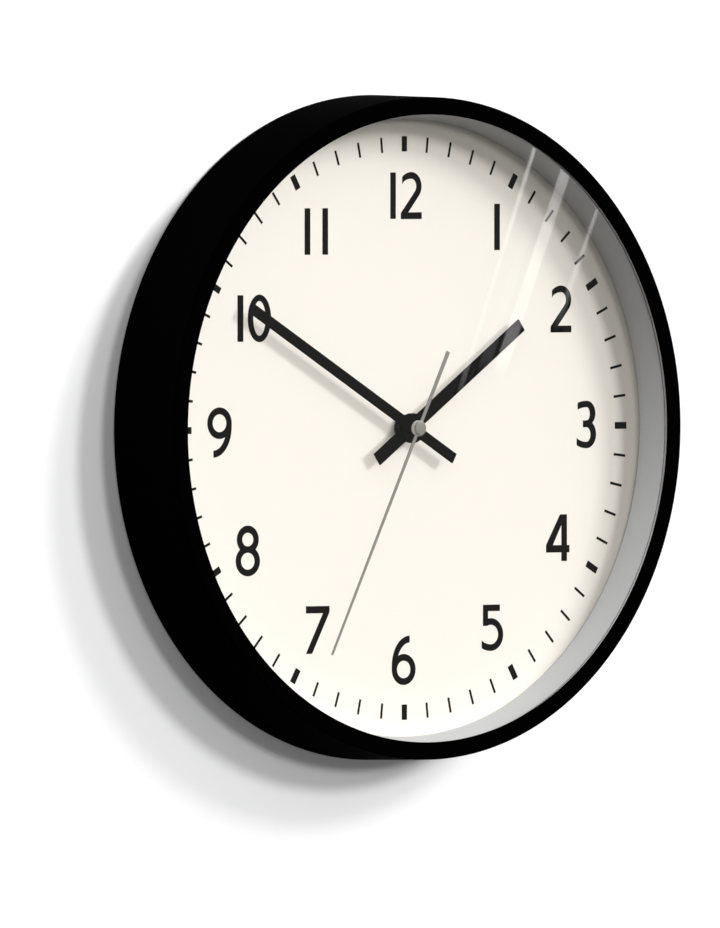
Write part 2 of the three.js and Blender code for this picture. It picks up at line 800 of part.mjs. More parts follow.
add("case_shell", caseShell(), blackPlastic);
add("front_glass", frontGlass(), glassClear);
add("spacer_ring", spacerRing(), whitePlastic);
add("dial_plate", dialPlate(), creamPaint);
add("back_cover", backCover(), blackPlastic);
screwPlaces.forEach((at, i) => add(`cover_screw_${i + 1}`, coverScrew(), steel, { at }));
add("hanger_plate", hangerPlate(), steel);
rivetPlaces.forEach((at, i) => add(`hanger_rivet_${i + 1}`, hangerRivet(), steel, { at }));

add("movement_front_housing", movementFrontHousing(), darkHousing);
add("movement_rear_cover", movementRearCover(), darkHousing);
add("train_bridge", trainBridge(), naturalNylon);
add("rubber_washer", tube(4.3, 13, HOUSING.front + 0.1, dialRear - 0.1, 32), rubber);
add("nut_washer", tube(4.2, 6, DIAL.front + REST_GAP, DIAL.front + 0.9, 32), blackSteel);
add("hex_nut", hexNut(), blackSteel);

add("circuit_board", circuitBoard(), boardGreen);
add("timer_chip", timerChip(), rubber);
add("quartz_crystal", quartzCrystal(), steel);
add("coil_bobbin", coilBobbin(), naturalNylon);
add("coil_winding", coilWinding(), copper);
add("coil_core", coilCore(), steel);
add("stator", stator(), steel);
add("battery_contact_positive", batteryContactPositive(), steel);
add("battery_contact_negative", batteryContactNegative(), steel);
add("battery", battery(), cellJacket);

add("rotor_pinion", rotorPinion(), naturalNylon, { at: ROTOR_AT, turn: ROTOR_TURN });
add("rotor_magnet", rotorMagnet(), ferrite, { at: ROTOR_AT });
const intermediate = { at: INTERMEDIATE_AT, turn: INTERMEDIATE_TURN };
add("intermediate_wheel", intermediateWheel(), naturalNylon, intermediate);
add("second_wheel", secondWheel(), naturalNylon);
add("third_wheel", thirdWheel(), naturalNylon, { at: THIRD_AT, turn: THIRD_TURN });
add("centre_wheel", centreWheel(), naturalNylon, { turn: CENTRE_TURN });
add("minute_pipe", minutePipe(), brass);
add("minute_wheel", minuteWheel(), naturalNylon, { at: MINUTE_WHEEL_AT, turn: MINUTE_WHEEL_TURN });
add("hour_wheel", hourWheel(), naturalNylon, { turn: HOUR_WHEEL_TURN });
add("setting_shaft", settingShaft(), naturalNylon, { at: SETTING_AT, turn: SETTING_TURN });
add("setting_knob", settingKnob(), naturalNylon, { at: SETTING_AT });

for (const [name, hand, collar] of [
  ["hour_hand", HOUR_HAND, 0.7],
  ["minute_hand", MINUTE_HAND, 0.5],
]) {
  const turn = THREE.MathUtils.degToRad(hand.turn);
  add(name, baton(hand, collar), handPaint, { z: hand.z, turn });
}
const secondTurn = THREE.MathUtils.degToRad(SECOND_HAND.turn);
add("second_hand", secondHand(), greyPaint, { z: SECOND_HAND.z, turn: secondTurn });

// Stand the clock up: its front faces -Y and the wall screw's place is the origin.
clock.rotation.x = Math.PI / 2;
clock.position.z = -HANG_HEIGHT;

export default new THREE.Group().add(clock);
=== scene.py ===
"""The looks of the drum wall clock: case, lens, inner ring, printed dial, hands, back and movement.

Every new piece is laid out in the clock's own frame, in mm: x to the right, y up, both from the hands'
axis, and depth out of the wall. place() turns that into the row frame, in metres.
"""

import math
from math import cos, degrees, pi, radians, sin

import bmesh
import bpy
from mathutils import Matrix, Vector
from mathutils.geometry import tessellate_polygon


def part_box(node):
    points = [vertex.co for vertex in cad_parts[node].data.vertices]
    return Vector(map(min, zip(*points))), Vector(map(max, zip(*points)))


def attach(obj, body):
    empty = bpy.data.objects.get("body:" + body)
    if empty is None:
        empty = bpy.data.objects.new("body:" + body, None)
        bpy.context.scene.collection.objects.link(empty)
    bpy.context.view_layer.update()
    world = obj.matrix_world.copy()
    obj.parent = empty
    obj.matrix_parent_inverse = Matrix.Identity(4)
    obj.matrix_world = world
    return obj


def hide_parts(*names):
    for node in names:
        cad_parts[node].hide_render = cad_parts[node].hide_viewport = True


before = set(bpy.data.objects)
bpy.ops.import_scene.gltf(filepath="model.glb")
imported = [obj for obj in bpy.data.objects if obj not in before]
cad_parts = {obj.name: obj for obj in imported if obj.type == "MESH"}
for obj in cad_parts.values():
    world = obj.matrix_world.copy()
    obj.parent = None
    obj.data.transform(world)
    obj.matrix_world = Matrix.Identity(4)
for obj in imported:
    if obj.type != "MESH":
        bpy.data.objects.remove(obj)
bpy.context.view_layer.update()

MM = 0.001
SMOOTH = 288  # facets of the large rings


# ------------------------------------------------------------------ places taken from the frame
def middle(node):
    """The middle of a CAD node's box, in metres."""
    low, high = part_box(node)
    return (low + high) / 2


def depths(node):
    """How far out of the wall a CAD node's rear and front stand, in mm."""
    low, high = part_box(node)
    return -high.y / MM, -low.y / MM


def half_width(node):
    """Half of a CAD node's width, in mm: its radius, if it is round."""
    low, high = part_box(node)
    return (high.x - low.x) / 2 / MM


AXIS = middle("dial_plate")  # the hands' axis
CASE_REAR, CASE_FRONT = depths("case_shell")
GLASS_REAR, GLASS_FRONT = depths("front_glass")
RING_REAR, RING_FRONT = depths("spacer_ring")
DIAL_REAR, DIAL_FRONT = depths("dial_plate")
COVER_REAR, _ = depths("back_cover")
CASE_RADIUS = half_width("case_shell")
LENS_RADIUS = half_width("front_glass")
DIAL_RADIUS = half_width("dial_plate")
COVER_RADIUS = half_width("back_cover")

BEZEL_OPENING = 141.2
BEZEL_LIP = 1.4
LIP_UNDERCUT = 0.5  # the lip is sharp: its rear edge is that much wider than its front one
FRONT_DRAFT = 0.85  # the front rim is that much smaller in radius than the rear one
RING_FOOT = 139.0
RING_TOP = 142.2


def place(x, y, depth):
    """A point of the clock's own frame, in the row frame."""
    return Vector((AXIS.x + x * MM, -depth * MM, AXIS.z + y * MM))


def own_xy(node):
    """The middle of a CAD node in the clock's own frame, in mm."""
    point = middle(node)
    return (point.x - AXIS.x) / MM, (point.z - AXIS.z) / MM


# ------------------------------------------------------------------ outlines
def arc(centre, radii, start, stop, steps=24):
    """Points on an ellipse from one angle to another, in degrees, both ends included."""
    angles = [radians(start + (stop - start) * i / steps) for i in range(steps + 1)]
    return [(centre[0] + radii[0] * cos(a), centre[1] + radii[1] * sin(a)) for a in angles]


def circle(radius, centre=(0, 0), steps=SMOOTH, hole=False):
    """A closed round outline: anticlockwise, or clockwise for a hole."""
    turn = -360 if hole else 360
    return arc(centre, (radius, radius), 0, turn, steps)[:-1]


def rectangle(x0, x1, y0, y1):
    """An anticlockwise rectangle."""
    return [(x0, y0), (x1, y0), (x1, y1), (x0, y1)]


def rounded_rectangle(width, height, corner, centre=(0, 0), hole=False):
    """A rectangle with round corners: anticlockwise, or clockwise for a hole."""
    x, y = width / 2 - corner, height / 2 - corner
    points = []
    for i, (sx, sy) in enumerate([(1, 1), (-1, 1), (-1, -1), (1, -1)]):
        at = (centre[0] + sx * x, centre[1] + sy * y)
        points += arc(at, (corner, corner), 90 * i, 90 * i + 90, 8)
    return points[::-1] if hole else points


def shifted(outline, dx, dy):
    """An outline moved sideways and up."""
    return [(x + dx, y + dy) for x, y in outline]


def turned_by(outline, angle):
    """An outline turned anticlockwise about the axis, in degrees."""
    c, s = cos(radians(angle)), sin(radians(angle))
    return [(x * c - y * s, x * s + y * c) for x, y in outline]


def inset(outline, amount):
    """An outline moved towards its material, which lies on its left."""
    moved = []
    for before, here, after in zip(outline[-1:] + outline[:-1], outline, outline[1:] + outline[:1]):
        ways = [(here[0] - before[0], here[1] - before[1]), (after[0] - here[0], after[1] - here[1])]
        normals = [(-y / math.hypot(x, y), x / math.hypot(x, y)) for x, y in ways]
        share = 1 + normals[0][0] * normals[1][0] + normals[0][1] * normals[1][1]
        push = amount / max(share, 0.3)
        way = (normals[0][0] + normals[1][0], normals[0][1] + normals[1][1])
        moved.append((here[0] + push * way[0], here[1] + push * way[1]))
    return moved


def rounded(profile, fillets):
    """A closed profile with some corners rounded: fillets gives a radius for a corner's number."""
    points = []
    for i, here in enumerate(profile):
        radius = fillets.get(i, 0)
        if not radius:
            points.append(here)
            continue
        corner = Vector(here)
        to_before = (Vector(profile[i - 1]) - corner).normalized()
        to_after = (Vector(profile[(i + 1) % len(profile)]) - corner).normalized()
        half = to_before.angle(to_after) / 2
        centre = corner + (to_before + to_after).normalized() * radius / sin(half)
        start = corner + to_before * radius / math.tan(half) - centre
        stop = corner + to_after * radius / math.tan(half) - centre
        sweep = start.angle_signed(stop)
        for step in range(7):
            way = start.copy()
            way.rotate(Matrix.Rotation(-sweep * step / 6, 2))
            points.append(tuple(centre + way))
    return points


# ------------------------------------------------------------------ solids
class Shape:
    """The points and faces of one piece, in the row frame."""

    def __init__(self):
        self.points = []
        self.faces = []

    def add(self, points, faces):
        start = len(self.points)
        self.points += points
        self.faces += [[start + i for i in face] for face in faces]
        return self


def turned(shape, profile, at=(0, 0), facets=SMOOTH, closed=True):
    """Adds a profile of (radius, depth) turned about the line through at."""
    points, rings = [], []
    for radius, depth in profile:
        count = facets if radius > 1e-6 else 1
        rings.append([len(points) + i for i in range(count)])
        for i in range(count):
            a = 2 * pi * i / facets
            points.append(place(at[0] + radius * cos(a), at[1] + radius * sin(a), depth))
    pairs = list(zip(rings, rings[1:] + rings[:1]))
    faces = []
    for one, two in pairs if closed else pairs[:-1]:
        if len(one) == 1 and len(two) == 1:
            continue
        for i in range(facets):
            j = (i + 1) % facets
            corners = [one[i % len(one)], one[j % len(one)], two[j % len(two)], two[i % len(two)]]
            faces.append(list(dict.fromkeys(corners)))
    return shape.add(points, faces)


def turned_across(shape, profile, y, depth, facets=64):
    """Adds a profile of (radius, x) turned about a level line in the clock's plane."""
    first = len(shape.points)
    turned(shape, profile, facets=facets, closed=False)
    for i in range(first, len(shape.points)):
        up, right, along = shape.points[i]
        round_x, round_y, x = (up - AXIS.x) / MM, (along - AXIS.z) / MM, -right / MM
        shape.points[i] = place(x, y + round_y, depth + round_x)
    return shape


def plate(shape, outlines, rear, front, bevel=0.0):
    """Adds a flat plate with holes; outlines[0] is its edge, and the rest are its holes."""
    levels = [(rear, 0), (front, 0)]
    if bevel:
        levels = [(rear, bevel), (rear + bevel, 0), (front - bevel, 0), (front, bevel)]
    points, faces, starts = [], [], []
    for depth, amount in levels:
        starts.append(len(points))
        for outline in outlines:
            points += [place(x, y, depth) for x, y in (inset(outline, amount) if amount else outline)]
    for below, above in zip(starts, starts[1:]):
        first = 0
        for outline in outlines:
            n = len(outline)
            for i in range(n):
                a, b = first + i, first + (i + 1) % n
                faces.append([below + a, below + b, above + b, above + a])
            first += n
    flat = [[Vector((x, y, 0)) for x, y in outline] for outline in outlines]
    for triangle in tessellate_polygon(flat):
        faces.append([starts[0] + i for i in triangle])
        faces.append([starts[-1] + i for i in reversed(triangle)])
    return shape.add(points, faces)


FLAT = 5  # keeps a flat face flat beside a rounded edge


def piece(name, shape, slot, body="case", replaces=(), finish=None, sharp=32):
    """Makes the object with smooth shading and its finish (the slot's, unless one is given), hangs it under
    its CAD body and hides the CAD nodes that it replaces.
    """
    mesh = bpy.data.meshes.new(name)
    mesh.from_pydata(shape.points, [], shape.faces)
    bm = bmesh.new()
    bm.from_mesh(mesh)
    bmesh.ops.recalc_face_normals(bm, faces=bm.faces)
    bm.to_mesh(mesh)
    bm.free()
    mesh.shade_smooth()
    mesh.set_sharp_from_angle(angle=radians(sharp))
    mesh.materials.append(finish or FINISH[slot])
    made = bpy.data.objects.new(name, mesh)
    bpy.context.scene.collection.objects.link(made)
    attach(made, body)
    if replaces:
        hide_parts(*replaces)
    return made


# ------------------------------------------------------------------ finishes
def new_material(name):
    """An empty node material, with its nodes and links."""
    made = bpy.data.materials.new(name)
    made.use_nodes = True
    made.node_tree.nodes.clear()
    return made, made.node_tree.nodes, made.node_tree.links


def noise(nodes, links, scale, detail=3.0):
    """A noise in the piece's own coordinates, in metres."""
    where = nodes.new("ShaderNodeTexCoord")
    made = nodes.new("ShaderNodeTexNoise")
    made.inputs["Scale"].default_value = scale
    made.inputs["Detail"].default_value = detail
    links.new(where.outputs["Object"], made.inputs["Vector"])
    return made


def spread(nodes, links, source, low, high):
    """Maps a noise's middle range on low to high."""
    made = nodes.new("ShaderNodeMapRange")
    made.inputs["From Min"].default_value = 0.3
    made.inputs["From Max"].default_value = 0.7
    made.inputs["To Min"].default_value = low
    made.inputs["To Max"].default_value = high
    links.new(source, made.inputs["Value"])
    return made.outputs["Result"]


def surface(name, color, rough, metal=0.0, specular=0.5, grain=900, bump=0.02, mottle=0.06, coat=0.0):
    """A painted, moulded or metal surface with a fine grain in colour, gloss and relief."""
    made, nodes, links = new_material(name)
    out = nodes.new("ShaderNodeOutputMaterial")
    shader = nodes.new("ShaderNodeBsdfPrincipled")
    shader.inputs["Metallic"].default_value = metal
    shader.inputs["Specular IOR Level"].default_value = specular
    shader.inputs["Coat Weight"].default_value = coat
    fine = noise(nodes, links, grain)
    broad = noise(nodes, links, grain / 12, 2.0)
    tint = nodes.new("ShaderNodeMix")
    tint.data_type = "RGBA"
    tint.inputs["A"].default_value = (*[c * (1 - mottle) for c in color], 1)
    tint.inputs["B"].default_value = (*[min(1, c * (1 + mottle)) for c in color], 1)
    links.new(broad.outputs["Fac"], tint.inputs["Factor"])
    links.new(tint.outputs["Result"], shader.inputs["Base Color"])
    gloss = spread(nodes, links, fine.outputs["Fac"], rough * 0.92, rough * 1.08)
    links.new(gloss, shader.inputs["Roughness"])
    relief = nodes.new("ShaderNodeBump")
    relief.inputs["Strength"].default_value = bump
    relief.inputs["Distance"].default_value = 0.2 * MM
    links.new(fine.outputs["Fac"], relief.inputs["Height"])
    links.new(relief.outputs["Normal"], shader.inputs["Normal"])
    links.new(shader.outputs["BSDF"], out.inputs["Surface"])
    return made


def clear_lens(name):
    """Flat glass: clear, with a mirror image on its front face by the angle of view."""
    made, nodes, links = new_material(name)
    out = nodes.new("ShaderNodeOutputMaterial")
    through = nodes.new("ShaderNodeBsdfTransparent")
    through.inputs["Color"].default_value = (0.986, 0.988, 0.987, 1)
    gloss = nodes.new("ShaderNodeBsdfGlossy")
    gloss.inputs["Roughness"].default_value = 0.0
    fresnel = nodes.new("ShaderNodeFresnel")
    fresnel.inputs["IOR"].default_value = 1.5
    smear = noise(nodes, links, 60)
    faint = nodes.new("ShaderNodeMath")
    faint.operation = "MULTIPLY"
    side = nodes.new("ShaderNodeNewGeometry")
    outside = nodes.new("ShaderNodeMath")
    outside.operation = "SUBTRACT"
    outside.inputs[0].default_value = 1.0
    mix_share = nodes.new("ShaderNodeMath")
    mix_share.operation = "MULTIPLY"
    mix = nodes.new("ShaderNodeMixShader")
    links.new(fresnel.outputs["Fac"], faint.inputs[0])
    links.new(spread(nodes, links, smear.outputs["Fac"], 0.92, 1.0), faint.inputs[1])
    links.new(side.outputs["Backfacing"], outside.inputs[1])
    links.new(faint.outputs["Value"], mix_share.inputs[0])
    links.new(outside.outputs["Value"], mix_share.inputs[1])
    links.new(mix_share.outputs["Value"], mix.inputs["Fac"])
    links.new(through.outputs["BSDF"], mix.inputs[1])
    links.new(gloss.outputs["BSDF"], mix.inputs[2])
    links.new(mix.outputs["Shader"], out.inputs["Surface"])
    return made


FINISH = {
    "case_black": surface("case_black", (0.0004, 0.0004, 0.0004), 0.7, specular=0.001, bump=0.03),
    "lens_clear": clear_lens("lens_clear"),
    "ring_white": surface("ring_white", (0.46, 0.465, 0.474), 0.6, specular=0.2, mottle=0.01, bump=0.01),
    "dial_cream": surface("dial_cream", (0.93, 0.878, 0.803), 0.8, specular=0.1, mottle=0.004, bump=0.01),
    "hand_black": surface("hand_black", (0.005, 0.005, 0.0043), 0.65, specular=0.01, mottle=0.05),
    "hand_grey": surface(
        "hand_grey", (0.235, 0.226, 0.203), 0.5, metal=0.3, specular=0.3, mottle=0.03, bump=0.01
    ),
    "zinc_steel": surface("zinc_steel", (0.55, 0.56, 0.57), 0.34, metal=1.0, grain=700, mottle=0.12),
    "brass_parts": surface("brass_parts", (0.62, 0.46, 0.22), 0.33, metal=1.0, mottle=0.08),
    "nut_black": surface("nut_black", (0.02, 0.02, 0.02), 0.5, specular=0.2, mottle=0.08),
    "housing_dark": surface("housing_dark", (0.018, 0.018, 0.019), 0.6, specular=0.4, bump=0.12),
    "train_nylon": surface("train_nylon", (0.78, 0.75, 0.65), 0.48, mottle=0.03),
    "rubber_black": surface("rubber_black", (0.02, 0.02, 0.02), 0.85, specular=0.3, bump=0.06),
    "resin_black": surface("resin_black", (0.015, 0.015, 0.015), 0.2, mottle=0.05, coat=0.3),
    "board_green": surface("board_green", (0.03, 0.16, 0.06), 0.35, mottle=0.12, coat=0.4),
    "magnet_wire": surface("magnet_wire", (0.5, 0.2, 0.08), 0.35, metal=0.9, grain=1600, bump=0.3),
    "ferrite_grey": surface("ferrite_grey", (0.05, 0.05, 0.052), 0.5, metal=0.3, bump=0.08),
    "cell_jacket": surface("cell_jacket", (0.03, 0.11, 0.22), 0.3, metal=0.3, mottle=0.02, coat=0.5),
}
REAR_BLACK = surface("rear_black", (0.012, 0.012, 0.012), 0.5, specular=0.3, grain=1400, bump=0.15)
SLEEVE_BAND = surface("sleeve_band", (0.42, 0.2, 0.07), 0.32, metal=0.6, mottle=0.03, coat=0.5)
# Painted highlight for the second hand's boss: a light flank that stands in for a reflection of the bright
# wall.
BOSS_PAINTED_HIGHLIGHT = surface("boss_painted_highlight", (0.8, 0.79, 0.77), 0.45, specular=0.3, mottle=0.02, bump=0.01)
PRINT_INK = surface("dial_print", (0.0055, 0.005, 0.0042), 0.75, specular=0.01, mottle=0.04, bump=0.005)


# ------------------------------------------------------------------ case, lens, ring and dial
def case_shell():
    """The drum: bezel lip, lens pocket, wall, rebate for the cover, and six screw bosses inside."""
    front = CASE_RADIUS - FRONT_DRAFT
    pocket, pocket_depth = LENS_RADIUS + 0.4, 36
    wall, rebate, rebate_depth = 147.2, 148, 5.2
    boss_circle, boss_hole, boss_radius = 145.7, 1.3, 2.8
    profile = [
        (BEZEL_OPENING + LIP_UNDERCUT, CASE_FRONT - BEZEL_LIP),
        (pocket, CASE_FRONT - BEZEL_LIP),
        (pocket, pocket_depth),
        (wall, pocket_depth),
        (wall, rebate_depth),
        (rebate, rebate_depth),
        (rebate, CASE_REAR),
        (CASE_RADIUS, CASE_REAR),
        (front, CASE_FRONT),
        (BEZEL_OPENING, CASE_FRONT),
    ]
    shape = turned(Shape(), rounded(profile, {6: 0.25, 7: 0.7, 8: 1.0, 9: 0.2}))
    boss = [(boss_hole, rebate_depth), (boss_radius, rebate_depth)]
    boss += [(boss_radius, pocket_depth), (boss_hole, pocket_depth)]
    for i in range(6):
        a = radians(60 * i)
        turned(shape, boss, (boss_circle * cos(a), boss_circle * sin(a)), 32)
    piece("drum_case", shape, "case_black", replaces=["case_shell"], sharp=FLAT)


def front_lens():
    """A flat disc of glass with ground edges."""
    profile = [(0, GLASS_REAR), (LENS_RADIUS, GLASS_REAR), (LENS_RADIUS, GLASS_FRONT), (0, GLASS_FRONT)]
    shape = turned(Shape(), rounded(profile, {1: 0.3, 2: 0.3}), closed=False)
    piece("lens", shape, "lens_clear", replaces=["front_glass"], sharp=FLAT)


def inner_ring():
    """The light cone between dial and lens, with soft edges."""
    wall = 1.3
    slope = (RING_TOP - RING_FOOT) / (RING_FRONT - RING_REAR)
    flange = RING_REAR + wall
    profile = [
        (RING_FOOT, RING_REAR),
        (LENS_RADIUS, RING_REAR),
        (LENS_RADIUS, flange),
        (LENS_RADIUS - slope * (RING_FRONT - flange), flange),
        (LENS_RADIUS, RING_FRONT),
        (RING_TOP, RING_FRONT),
    ]
    shape = turned(Shape(), rounded(profile, {0: 0.25, 5: 0.1}))
    inner, outer, top = LENS_RADIUS + 0.06, LENS_RADIUS + 0.34, GLASS_FRONT + 0.1  # a thin lip round the lens
    turned(shape, [(inner, GLASS_REAR), (outer, GLASS_REAR), (outer, top), (inner, top)])
    piece("inner_ring", shape, "ring_white", replaces=["spacer_ring"], sharp=FLAT)


def dial():
    """The painted disc with its hole for the bushing."""
    hole = 4.2
    profile = [(hole, DIAL_REAR), (DIAL_RADIUS, DIAL_REAR), (DIAL_RADIUS, DIAL_FRONT), (hole, DIAL_FRONT)]
    shape = turned(Shape(), rounded(profile, {2: 0.2, 3: 0.2}))
    piece("dial", shape, "dial_cream", replaces=["dial_plate"], sharp=FLAT)


# ------------------------------------------------------------------ dial print
INK = 0.05  # thickness of the print, mm
TICK_IN, TICK_OUT = 124.6, 131.5
TICK_WIDTH, HOUR_TICK_WIDTH = 1.2, 3.1


def ticks():
    """Sixty strokes, every fifth one bold."""
    shape = Shape()
    for i in range(60):
        half = (HOUR_TICK_WIDTH if i % 5 == 0 else TICK_WIDTH) / 2
        stroke = turned_by(rectangle(-half, half, TICK_IN, TICK_OUT), -6 * i)
        plate(shape, [stroke], DIAL_FRONT, DIAL_FRONT + INK)
    piece("dial_strokes", shape, "hand_black", finish=PRINT_INK)


def bar(x=0.0, width=3.3):
    """The plain upright stroke of a one."""
    return [rectangle(x - width / 2, x + width / 2, -10.45, 10.45)]


def zero(x=0.0):
    """An upright oval ring."""
    return [arc((x, 0), (6.8, 10.7), 0, 360, 64)[:-1], arc((x, 0), (3.6, 7.8), 0, -360, 64)[:-1]]


def two(x=0.0):
    """A bowl, a straight diagonal and a flat base."""
    bowl = (0.05, 4.2)
    outline = [(-6.15, -10.6), (6.15, -10.6), (6.15, -7.55), (-1.75, -7.55)]
    outline += arc(bowl, (6.0, 6.4), -41.8, 90)
    outline += arc(bowl, (7.15, 6.4), 91, 139, 12)
    outline += arc(bowl, (5.6, 3.4), 164.6, 91, 12)
    outline += arc(bowl, (2.9, 3.4), 90, -44.9)
    outline += [(-6.15, -7.9)]
    return [shifted(outline, x, 0)]


def three():
    """Two bowls with a short bar between them."""
    outline = arc((0.1, -4.4), (9.34, 6.35), 231.2, 269, 10)
    outline += arc((0.1, -4.4), (5.65, 6.35), 270, 413.5, 30)
    outline += arc((0.2, 5.1), (5.15, 5.65), -51, 90, 30)
    outline += arc((0.2, 5.1), (9.98, 5.65), 91, 122.8, 10)
    outline += arc((0.2, 4.85), (6.75, 3.0), 143.1, 91, 10)
    outline += arc((0.2, 4.85), (1.85, 3.0), 90, -90, 20)
    outline += [(-2.05, 1.85), (-2.05, -1.25)]
    outline += arc((0.1, -4.55), (2.35, 3.3), 90, -90, 20)
    outline += arc((0.1, -4.55), (6.46, 3.3), -91, -154.9, 10)
    return [outline]


def four():
    """An upright, a crossbar and a diagonal round a three-cornered hole."""
    outline = [(2.15, -10.55), (5.45, -10.55), (5.45, -6.65), (6.95, -6.65), (6.95, -3.35), (5.45, -3.35)]
    outline += [(5.45, 10.55), (1.35, 10.55), (-6.95, -3.2), (-6.95, -6.65), (2.15, -6.65)]
    hole = [(2.15, -3.35), (-2.95, -3.35), (2.15, 5.85)]
    return [outline, hole]


def five():
    """A flag, a short upright and a round bowl."""
    bowl = (-1.05, -3.05)
    outline = arc(bowl, (9.36, 7.4), 235.5, 269, 10)
    outline += arc(bowl, (7.4, 7.4), 270, 462.1, 40)
    outline += [(-2.6, 7.55), (4.4, 7.55), (4.4, 10.45), (-5.6, 10.45), (-5.6, 0.9)]
    outline += arc(bowl, (4.4, 4.4), 118, -90, 34)
    outline += arc(bowl, (6.44, 4.4), -91, -145.4, 10)
    return [outline]


def six():
    """A ring with a curved tail; turned by half, it is the nine."""
    ring = (0, -4.1)
    outline = arc(ring, (7.0, 7.0), 180, 477.3, 60)
    outline += arc((3.5, -2.6), (7.5, 10.6), 153, 90, 20)
    outline += arc((3.5, -2.6), (10.5, 13.7), 90, 180, 24)
    return [outline, circle(3.95, ring, 48, hole=True)]


def seven():
    """A level bar on a straight slanting stem."""
    outline = [(-6.9, -10.7), (-3.3, -10.7), (6.9, 7.9), (6.9, 10.7), (-6.9, 10.7), (-6.9, 7.5), (3.08, 7.5)]
    return [outline]


def eight():
    """Two rings, the lower one larger."""
    outline = arc((0, -4.6), (7.1, 6.8), 129.9, 410.1, 48)
    outline += arc((0, 5.1), (6.4, 6.3), -45.3, 225.3, 44)
    upper = arc((0, 5.1), (3.25, 3.05), 0, -360, 40)[:-1]
    lower = arc((0, -4.6), (3.95, 3.8), 0, -360, 40)[:-1]
    return [outline, upper, lower]


def nine():
    """The six turned by half, a little larger."""
    return [[(-1.014 * x, -1.014 * y) for x, y in outline] for outline in six()]


# Each numeral's strokes and its middle on the dial.
NUMERALS = [
    ([bar()], 54.7, 90.3),
    ([two()], 92.6, 53.0),
    ([three()], 107.7, 0.6),
    ([four()], 90.7, -50.5),
    ([five()], 52.0, -90.7),
    ([six()], -0.4, -104.7),
    ([seven()], -50.9, -90.3),
    ([eight()], -91.8, -54.3),
    ([nine()], -108.3, -1.0),
    ([bar(-8.1, 3.4), zero(3.0)], -88.0, 50.0),
    ([bar(-5.2), bar(5.2)], -51.7, 88.8),
    ([bar(-7.65, 3.2), two(3.05)], 1.0, 104.7),
]


def numerals():
    """The upright figures of the hours."""
    shape = Shape()
    for figures, x, y in NUMERALS:
        for outlines in figures:
            plate(shape, [shifted(o, x, y) for o in outlines], DIAL_FRONT, DIAL_FRONT + INK)
    piece("dial_numerals", shape, "hand_black", finish=PRINT_INK)


# ------------------------------------------------------------------ hands
HAND_THICKNESS = 0.7


def baton_outline(tip, tail, width, hub):
    """A straight baton that points to twelve, with a round hub."""
    half = width / 2
    side = degrees(math.asin(half / hub))
    corner = 0.25
    outline = [(half - corner, -tail), (half, -tail + corner)]
    outline += arc((0, 0), (hub, hub), side - 90, 90 - side, 40)
    outline += [(half, tip - corner), (half - corner, tip), (corner - half, tip), (-half, tip - corner)]
    outline += arc((0, 0), (hub, hub), 90 + side, 270 - side, 40)
    outline += [(-half, -tail + corner), (corner - half, -tail)]
    return outline


def baton(name, node, body, tip, tail, width, hub, bore, turn, collar):
    """One of the two black hands, with a collar behind its hub for the pipe."""
    rear = depths(node)[1] - HAND_THICKNESS
    edge = turned_by(baton_outline(tip, tail, width, hub), turn)
    shape = plate(Shape(), [edge, circle(bore + 0.1, steps=48, hole=True)], rear, rear + HAND_THICKNESS, 0.1)
    inner, outer, start, stop = bore + 0.1, bore + 1.2, rear - collar, rear + 0.2
    turned(shape, [(inner, start), (outer, start), (outer, stop), (inner, stop)], facets=48)
    piece(name, shape, "hand_black", body, [node])


def second_hand(turn=-206.7):
    """A slim grey needle through a round boss with a soft edge, and a light sleeve round the boss's flank
    that is a painted highlight.
    """
    tip, tail, boss = 113.5, 38.5, 3.4
    boss_rear, boss_front = depths("second_hand")
    rear = boss_front - 1.55
    needle = [(1.05, -tail), (0.85, 0), (0.6, tip), (-0.6, tip), (-0.85, 0), (-1.05, -tail)]
    shape = plate(Shape(), [turned_by(needle, turn)], rear, rear + 0.35, 0.08)
    profile = [(0, boss_rear), (boss, boss_rear), (boss, boss_front), (0, boss_front)]
    turned(shape, rounded(profile, {1: 0.25, 2: 0.55}), facets=96, closed=False)
    piece("needle", shape, "hand_grey", "second_hand_arbor", ["second_hand"])
    # The sleeve's light finish is a painted highlight: it stands in for the bright wall that the boss's side
    # mirrors.
    inner, outer, stop = boss - 0.3, boss + 0.05, boss_front - 0.6
    side = [(inner, boss_rear + 0.3), (outer, boss_rear + 0.3), (outer, stop), (inner, stop)]
    sleeve = turned(Shape(), side, facets=96)
    piece("boss_highlight_sleeve", sleeve, "hand_grey", "second_hand_arbor", finish=BOSS_PAINTED_HIGHLIGHT)


# ------------------------------------------------------------------ back cover, screws and hanger
HOOK_HEIGHT = -AXIS.z / MM  # the wall screw above the hands' axis
HANGER_MIDDLE = HOOK_HEIGHT - 5
RIVET_PLACES = [(-13, HOOK_HEIGHT + 4), (13, HOOK_HEIGHT + 4)]
SCREW_PLACES = [own_xy(f"cover_screw_{i}") for i in range(1, 7)]
WINDOW = 62


